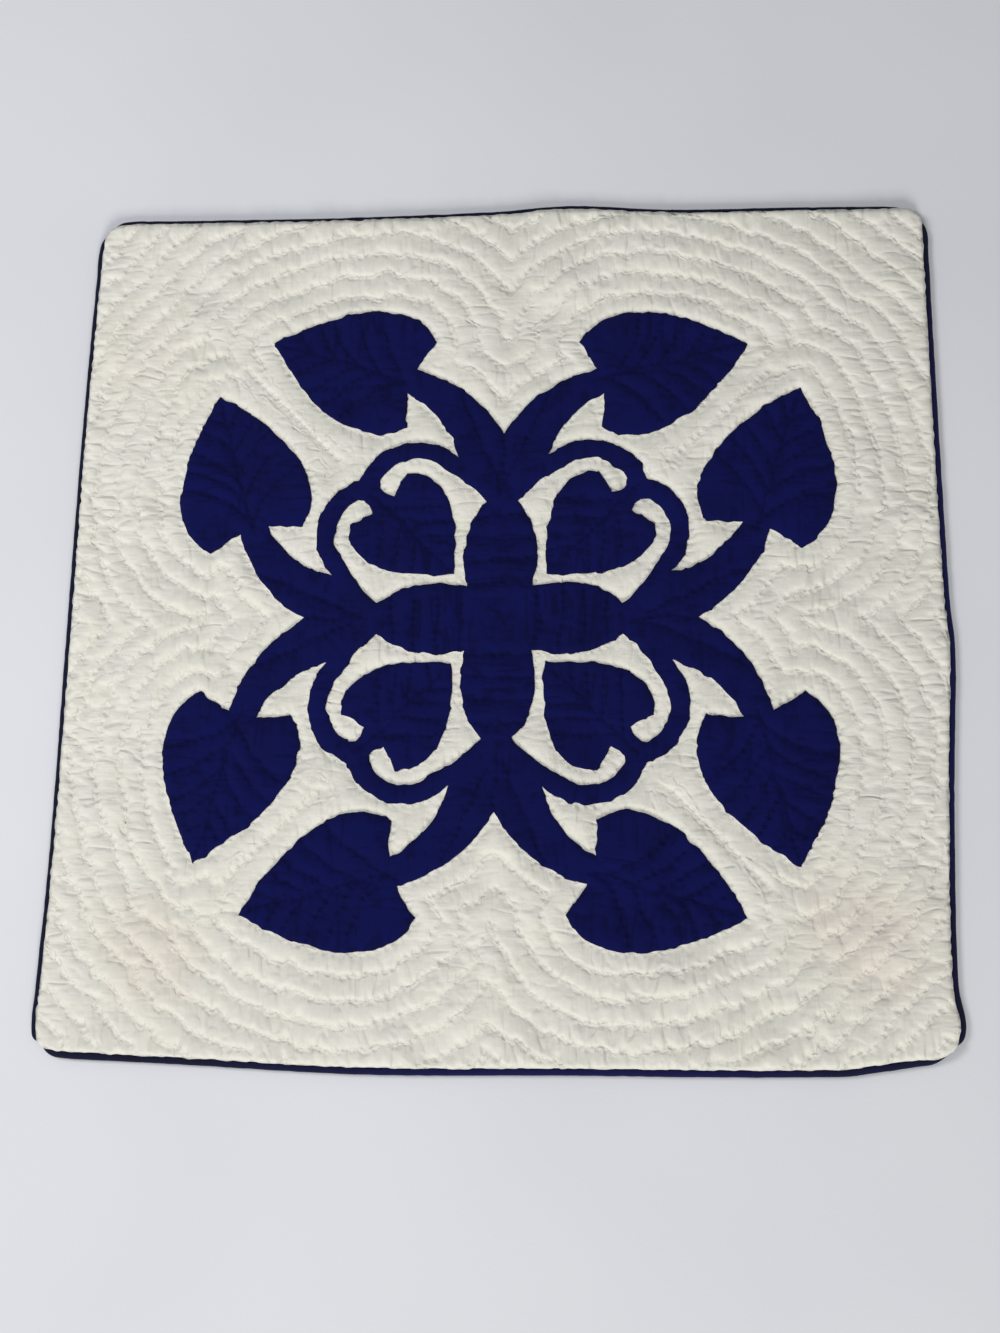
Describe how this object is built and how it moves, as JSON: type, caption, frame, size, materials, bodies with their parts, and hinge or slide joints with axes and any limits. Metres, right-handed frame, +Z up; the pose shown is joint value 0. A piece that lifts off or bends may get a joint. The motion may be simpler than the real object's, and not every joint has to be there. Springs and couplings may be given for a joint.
{
  "type": "applique pillow cover",
  "caption": "Square quilted pillow cover lying flat, cream with a navy leaf medallion applique, echo quilting and navy piping.",
  "frame": {"origin": "centre of the cover's outline, on the surface it lies on", "axes": "+Z up out of the quilted front, +X to the right and +Y to the far edge, seen with the near edge towards the viewer"},
  "size_m": [0.4616, 0.4696, 0.0077],
  "materials": {
    "cream_cloth": "hand-quilted cream cotton, matt, with faint pink stains",
    "navy_cloth": "deep navy cotton, matt, quilted through",
    "navy_piping": "deep navy cotton over a cord, matt",
    "cream_backing": "plain cream cotton, matt"
  },
  "bodies": {
    "root": {"front_panel": "cream_cloth", "applique": "navy_cloth", "piping": "navy_piping", "back_panel": "cream_backing"}
  },
  "joints": []
}
